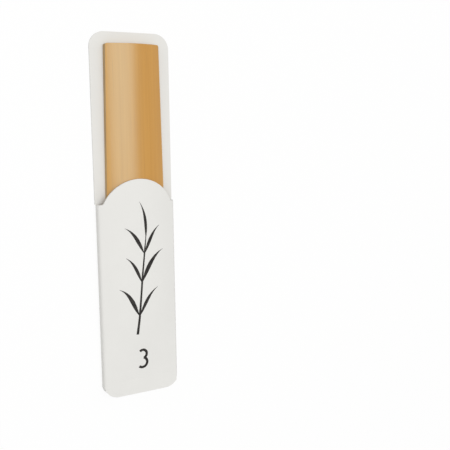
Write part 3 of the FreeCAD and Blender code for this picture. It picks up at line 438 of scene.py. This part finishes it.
def addStrip(bm, rows, lift, closed):
    rings = []
    for left, middle, right, normal in rows:
        up = normal * lift * millimetre
        down = normal * -strokeShape["sink"] * millimetre
        corners = (left + up, middle + up, right + up, right + down, left + down)
        rings.append([bm.verts.new(corner) for corner in corners])
    following = rings[1:] + rings[:1] if closed else rings[1:]
    for near, far in zip(rings, following):
        for corner in range(len(near)):
            after = (corner + 1) % len(near)
            bm.faces.new((near[corner], near[after], far[after], far[corner]))
    if not closed:
        bm.faces.new(rings[0][::-1])
        bm.faces.new(rings[-1])


# One stroke: a line of points with a half width at each, cut where it runs off the card.
def addStroke(bm, points, widths, side, lift, closed=False):
    laid = [layPoint(point, headingAt(points, index, closed), widths[index], side)
            for index, point in enumerate(points)]
    if closed and None not in laid:
        addStrip(bm, laid, lift, True)
        return
    if closed:
        gap = laid.index(None)
        laid = laid[gap:] + laid[:gap]
    run = []
    for row in laid + [None]:
        if row is not None:
            run.append(row)
            continue
        if len(run) >= strokeShape["fewestPoints"]:
            addStrip(bm, run, lift, False)
        run = []


def finishPrint(name, bm, material):
    bmesh.ops.recalc_face_normals(bm, faces=bm.faces)
    mesh = bpy.data.meshes.new(name)
    bm.to_mesh(mesh)
    bm.free()
    piece = bpy.data.objects.new(name, mesh)
    scene.collection.objects.link(piece)
    mesh.materials.append(material)
    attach(piece, "sleeve")


# A brush stroke through knots, each with its place, heading and half width. Its handles reach a
# third of the way to the next knot, and the width eases from knot to knot.
def brushLine(knots, steps):
    points, widths = [], []
    for (place, heading, width), (nextPlace, nextHeading, nextWidth) in zip(knots, knots[1:]):
        start, end = Vector(place), Vector(nextPlace)
        reach = (end - start).length / 3
        leave = start + Vector(heading).normalized() * reach
        arrive = end - Vector(nextHeading).normalized() * reach
        curve = interpolate_bezier(start.to_3d(), leave.to_3d(), arrive.to_3d(), end.to_3d(), steps)
        for index, point in enumerate(curve):
            if points and index == 0:
                continue
            share = index / (steps - 1)
            eased = share * share * (3 - 2 * share)
            points.append(point.to_2d())
            widths.append(width + (nextWidth - width) * eased)
    return points, widths


# The plain numeral 3 of the reed's strength, 1 high: two bowls, each with its middle's height,
# its radius and its first and last angle.
numeralShape = {
    "bowls": ((0.235, 0.235, -1.25, 2.35), (-0.23, 0.27, -2.35, 1.35)),
    "steps": 36,
    "narrowing": 0.95,
    "bowlLift": 0.002,
}


def addNumeral(bm, look, side, lift):
    shape = numeralShape
    centre = Vector(look["numeralCentre"])
    for number, (middle, radius, first, last) in enumerate(shape["bowls"]):
        points = []
        for k in range(shape["steps"] + 1):
            angle = first + (last - first) * k / shape["steps"]
            across = math.cos(angle) * radius * side * shape["narrowing"]
            up = middle + math.sin(angle) * radius
            points.append(centre + Vector((across, up)) * look["numeralHeight"])
        widths = [look["numeralWidth"]] * len(points)
        addStroke(bm, points, widths, side, lift + shape["bowlLift"] * number)


# Front print: a cane stalk with narrow leaves in brush strokes, and the numeral below it. A leaf
# has its root and heading there, its tip and heading there, and its half width.
stalkPrint = {
    "stalk": (((-1.5, -31.5), (0.1, 1.0), 0.36),
              ((-0.9, -26.4), (0.09, 1.0), 0.3),
              ((-0.1, -17.2), (0.09, 1.0), 0.26),
              ((0.8, -9.4), (0.1, 1.0), 0.22),
              ((1.38, -4.3), (0.06, 1.0), 0.12)),
    "stalkSteps": 14,
    "leaves": (((-0.9, -26.4), (-0.55, 1.0), (-6.3, -18.6), (-1.0, 0.35), 0.52),
               ((-0.9, -26.4), (0.5, 1.0), (4.6, -18.8), (1.0, 0.5), 0.42),
               ((-0.1, -17.2), (0.45, 1.0), (6.4, -8.6), (1.0, 0.4), 0.55),
               ((-0.1, -17.2), (-0.4, 1.0), (-4.3, -10.2), (-1.0, 0.6), 0.4),
               ((0.8, -9.4), (-0.5, 1.0), (-4.4, -2.2), (-1.0, 0.45), 0.46),
               ((0.8, -9.4), (0.5, 1.0), (5.4, -2.0), (1.0, 0.7), 0.42),
               ((1.31, -5.4), (0.07, 1.0), (-0.2, 4.6), (-0.6, 1.0), 0.36)),
    "leafSteps": 34,
    "leafLift": 0.001,
    "leafTip": 0.035,
    "leafBelly": 0.82,
    "leafTaper": 1.35,
    "numeralCentre": (0.0, -38.6),
    "numeralHeight": 5.2,
    "numeralWidth": 0.36,
}


def leafWidth(share, halfWidth):
    swell = math.sin(math.pi * share ** stalkPrint["leafBelly"]) ** stalkPrint["leafTaper"]
    return stalkPrint["leafTip"] + halfWidth * swell


def printFront():
    look = stalkPrint
    lift = strokeShape["lift"]
    bm = bmesh.new()
    points, widths = brushLine(look["stalk"], look["stalkSteps"])
    addStroke(bm, points, widths, 1, lift)
    for number, (root, away, tip, towards, halfWidth) in enumerate(look["leaves"]):
        points, _ = brushLine(((root, away, 0.0), (tip, towards, 0.0)), look["leafSteps"])
        widths = [leafWidth(index / (len(points) - 1), halfWidth) for index in range(len(points))]
        addStroke(bm, points, widths, 1, lift + look["leafLift"] * number)
    finishPrint("printedCaneStalk", bm, darkInk)
    bm = bmesh.new()
    addNumeral(bm, look, 1, lift)
    finishPrint("printedStrengthNumber", bm, darkInk)


# Back print: contour lines of a made-up height field. Each of the field's waves has its weight,
# its lengths and its place in the noise.
contourPrint = {
    "halfWidth": 10.9,
    "halfLength": 48.4,
    "cell": 0.55,
    "turn": (0.86, 0.5),
    "waves": ((1.35, (26.0, 16.0), (3.7, 8.2, 1.4)),
              (0.32, (12.0, 9.0), (1.3, 5.9, 7.1))),
    "slope": 0.022,
    "levelGap": 0.128,
    "levelShift": 0.37,
    "lineHalfWidth": 0.13,
    "shortest": 14,
    "smoothing": 3,
}


def fieldHeight(x, y):
    cosine, sine = contourPrint["turn"]
    turned = Vector((cosine * x + sine * y, -sine * x + cosine * y))
    height = 0.0
    for weight, lengths, shift in contourPrint["waves"]:
        across = turned.x / lengths[0] + shift[0]
        along = turned.y / lengths[1] + shift[1]
        height += weight * noise.noise(Vector((across, along, shift[2])))
    return height + contourPrint["slope"] * y


# The places where one level crosses the cells' edges, joined into lines.
def traceLevel(heights, columns, rows, level):
    def crossing(a, b):
        share = (level - heights[a]) / (heights[b] - heights[a])
        x = (a[0] + (b[0] - a[0]) * share) * contourPrint["cell"] - contourPrint["halfWidth"]
        y = (a[1] + (b[1] - a[1]) * share) * contourPrint["cell"] - contourPrint["halfLength"]
        return Vector((x, y))

    links = {}
    places = {}
    for column in range(columns - 1):
        for row in range(rows - 1):
            corners = [(column, row), (column + 1, row), (column + 1, row + 1), (column, row + 1)]
            above = [heights[corner] > level for corner in corners]
            crossed = []
            for k in range(4):
                if above[k] != above[(k + 1) % 4]:
                    edge = tuple(sorted((corners[k], corners[(k + 1) % 4])))
                    crossed.append(edge)
                    places[edge] = crossing(*edge)
            for k in range(0, len(crossed), 2):
                links.setdefault(crossed[k], []).append(crossed[k + 1])
                links.setdefault(crossed[k + 1], []).append(crossed[k])
    lines = []
    left = dict.fromkeys(sorted(links))
    starts = [edge for edge in left if len(links[edge]) == 1] + list(left)
    for start in starts:
        if start not in left:
            continue
        chain = [start]
        del left[start]
        while True:
            after = [edge for edge in links[chain[-1]] if edge in left]
            if not after:
                break
            chain.append(after[0])
            del left[after[0]]
        closed = len(chain) > 3 and start in links[chain[-1]]
        lines.append(([places[edge] for edge in chain], closed))
    return lines


def smoothLine(points, closed):
    count = len(points)
    for _ in range(contourPrint["smoothing"]):
        eased = []
        for k, point in enumerate(points):
            if not closed and k in (0, count - 1):
                eased.append(point)
                continue
            eased.append((points[k - 1] + point * 2 + points[(k + 1) % count]) / 4)
        points = eased
    return points


def printContours():
    look = contourPrint
    cell, gap = look["cell"], look["levelGap"]
    columns = int(2 * look["halfWidth"] / cell) + 2
    rows = int(2 * look["halfLength"] / cell) + 2
    heights = {}
    for column in range(columns):
        for row in range(rows):
            heights[(column, row)] = fieldHeight(column * cell - look["halfWidth"],
                                                 row * cell - look["halfLength"])
    lowest, highest = min(heights.values()), max(heights.values())
    bm = bmesh.new()
    total = 0
    for number in range(math.ceil(lowest / gap), math.ceil(highest / gap)):
        level = (number + look["levelShift"]) * gap
        for points, closed in traceLevel(heights, columns, rows, level):
            if len(points) < look["shortest"]:
                continue
            widths = [look["lineHalfWidth"]] * len(points)
            addStroke(bm, smoothLine(points, closed), widths, -1, strokeShape["lift"], closed)
            total += 1
    finishPrint("printedContours", bm, contourInk)
    print("contour lines", total)


# The round emblem over the contours: a white ground, and a ring and the numeral on it. The ground
# is one broad stroke round its centre, which leaves a pinhole there.
emblemPrint = {
    "numeralCentre": (0.0, -36.5),
    "numeralHeight": 6.0,
    "numeralWidth": 0.42,
    "radius": 6.2,
    "pinhole": 0.02,
    "ringRadius": 5.5,
    "ringHalfWidth": 0.2,
    "steps": 96,
    "groundLift": 0.008,
    "figureLift": 0.018,
}


def addRing(bm, radius, halfWidth, lift):
    steps = emblemPrint["steps"]
    centre = Vector(emblemPrint["numeralCentre"])
    points = []
    for k in range(steps):
        angle = math.tau * k / steps
        points.append(centre + Vector((math.cos(angle), math.sin(angle))) * radius)
    addStroke(bm, points, [halfWidth] * steps, -1, lift, True)


def printEmblem():
    look = emblemPrint
    half = look["radius"] / 2
    bm = bmesh.new()
    addRing(bm, half, half - look["pinhole"], strokeShape["lift"] + look["groundLift"])
    finishPrint("printedEmblemGround", bm, whiteInk)
    bm = bmesh.new()
    lift = strokeShape["lift"] + look["figureLift"]
    addRing(bm, look["ringRadius"], look["ringHalfWidth"], lift)
    addNumeral(bm, look, -1, lift)
    finishPrint("printedEmblemFigures", bm, darkInk)


printFront()
printContours()
printEmblem()
print("front and back printed")


tableLook = {
    "height": -0.0001,
    "halfSize": 0.45,
    "fade": (0.17, 0.42),
    "colour": toLinear(244, 244, 243),
    "roughness": 0.9,
    "glow": 0.9,
}


# The camera sees the table from above only, and light from below passes it as the table's own
# bounce would.
def makeTable():
    look = tableLook
    bm = bmesh.new()
    bmesh.ops.create_grid(bm, x_segments=1, y_segments=1, size=look["halfSize"])
    mesh = bpy.data.meshes.new("tableTop")
    bm.to_mesh(mesh)
    bm.free()
    table = bpy.data.objects.new("tableTop", mesh)
    table.location = (0.0, 0.0, look["height"])
    scene.collection.objects.link(table)
    for flag in ("visible_diffuse", "visible_glossy", "visible_transmission", "visible_shadow"):
        setattr(table, flag, False)
    material, tree, shader = newMaterial("whiteTable")
    shader.inputs["Base Color"].default_value = look["colour"]
    shader.inputs["Roughness"].default_value = look["roughness"]
    glow = addNode(tree, "ShaderNodeEmission", (0, -250))
    clear = addNode(tree, "ShaderNodeBsdfTransparent", (200, -250))
    lit = addNode(tree, "ShaderNodeMixShader", (200, 0))
    lit.inputs[0].default_value = look["glow"]
    tree.links.new(shader.outputs[0], lit.inputs[1])
    tree.links.new(glow.outputs[0], lit.inputs[2])
    place = addNode(tree, "ShaderNodeTexCoord", (-600, 350))
    reach = addNode(tree, "ShaderNodeVectorMath", (-400, 350), operation="LENGTH")
    tree.links.new(place.outputs["Object"], reach.inputs[0])
    fade = spread(tree, (-200, 350), reach.outputs["Value"], *look["fade"], curve="SMOOTHSTEP")
    side = addNode(tree, "ShaderNodeNewGeometry", (-200, 550))
    unseen = mathNode(tree, (200, 350), "MAXIMUM", fade, side.outputs["Backfacing"])
    shown = addNode(tree, "ShaderNodeMixShader", (450, 0))
    tree.links.new(unseen, shown.inputs[0])
    tree.links.new(lit.outputs[0], shown.inputs[1])
    tree.links.new(clear.outputs[0], shown.inputs[2])
    tree.links.new(shown.outputs[0], tree.nodes["Material Output"].inputs["Surface"])
    mesh.materials.append(material)


# The light round the sleeve: four softboxes, and a world that is white as a background, also
# through anything clear, and dimmer as light and in reflections.
lightLook = {
    "worldLevel": 0.555,
    "softboxes": {
        "keySoftbox": {"place": (-0.078, 0.09, 0.62), "size": (0.605, 0.44), "power": 2.33,
                       "mirrored": True},
        "leftSoftbox": {"place": (-0.5, 0.12, 0.13), "size": (0.3, 0.4), "power": 0.16,
                        "mirrored": True},
        "rightSoftbox": {"place": (0.5, 0.12, 0.13), "size": (0.3, 0.4), "power": 0.2,
                         "mirrored": False},
        "underSoftbox": {"place": (0.0, 0.0, -0.5), "size": (0.8, 0.8), "power": 2.33,
                         "mirrored": True},
    },
    "sleeveAlong": (0.0, 1.0, 0.0),
}


def makeWorld():
    world = bpy.data.worlds.new("studio")
    scene.world = world
    world.use_nodes = True
    tree = world.node_tree
    back = tree.nodes["Background"]
    back.inputs["Color"].default_value = (1.0, 1.0, 1.0, 1.0)
    path = addNode(tree, "ShaderNodeLightPath", (-700, 0))
    shown = mathNode(tree, (-450, 0), "MAXIMUM",
                     path.outputs["Is Camera Ray"], path.outputs["Is Transmission Ray"])
    level = spread(tree, (-200, 0), shown, 0.0, 1.0, lightLook["worldLevel"], 1.0)
    tree.links.new(level, back.inputs["Strength"])


# A lamp or the camera at its place, looking forward, with its first side to the right.
def turnedTo(place, right, forward):
    forward = Vector(forward).normalized()
    right = Vector(right)
    right = (right - forward * right.dot(forward)).normalized()
    turned = Matrix((right, right.cross(forward), -forward)).transposed()
    return Matrix.Translation(Vector(place)) @ turned.to_4x4()


# A softbox faces the sleeve with its second side along it, as the light down the bark shows. One
# that isn't mirrored gives light but shows in no reflection.
def addSoftbox(name, place, size, power, mirrored):
    lamp = bpy.data.lights.new(name, "AREA")
    lamp.shape = "RECTANGLE"
    lamp.size, lamp.size_y = size
    lamp.energy = power
    holder = bpy.data.objects.new(name, lamp)
    holder.visible_glossy = mirrored
    scene.collection.objects.link(holder)
    aim = -Vector(place)
    holder.matrix_world = turnedTo(place, aim.cross(Vector(lightLook["sleeveAlong"])), aim)


# The lens and place that fit the photograph's view of the sleeve's front.
cameraFit = {
    "place": (-0.0702, 0.02497, 0.17605),
    "right": (0.87224, -0.01136, 0.48895),
    "forward": (0.48246, -0.144, -0.864),
    "lens": 56.114,
    "sensor": 36.0,
    "nearest": 0.005,
    "farthest": 5.0,
}


def makeCamera():
    data = bpy.data.cameras.new("camera")
    data.lens = cameraFit["lens"]
    data.sensor_width = cameraFit["sensor"]
    data.clip_start = cameraFit["nearest"]
    data.clip_end = cameraFit["farthest"]
    camera = bpy.data.objects.new("camera", data)
    scene.collection.objects.link(camera)
    camera.matrix_world = turnedTo(cameraFit["place"], cameraFit["right"], cameraFit["forward"])
    scene.camera = camera


makeTable()
makeWorld()
for name, softbox in lightLook["softboxes"].items():
    addSoftbox(name, **softbox)
makeCamera()
scene.view_settings.view_transform = "Standard"
print("table, light and camera placed")
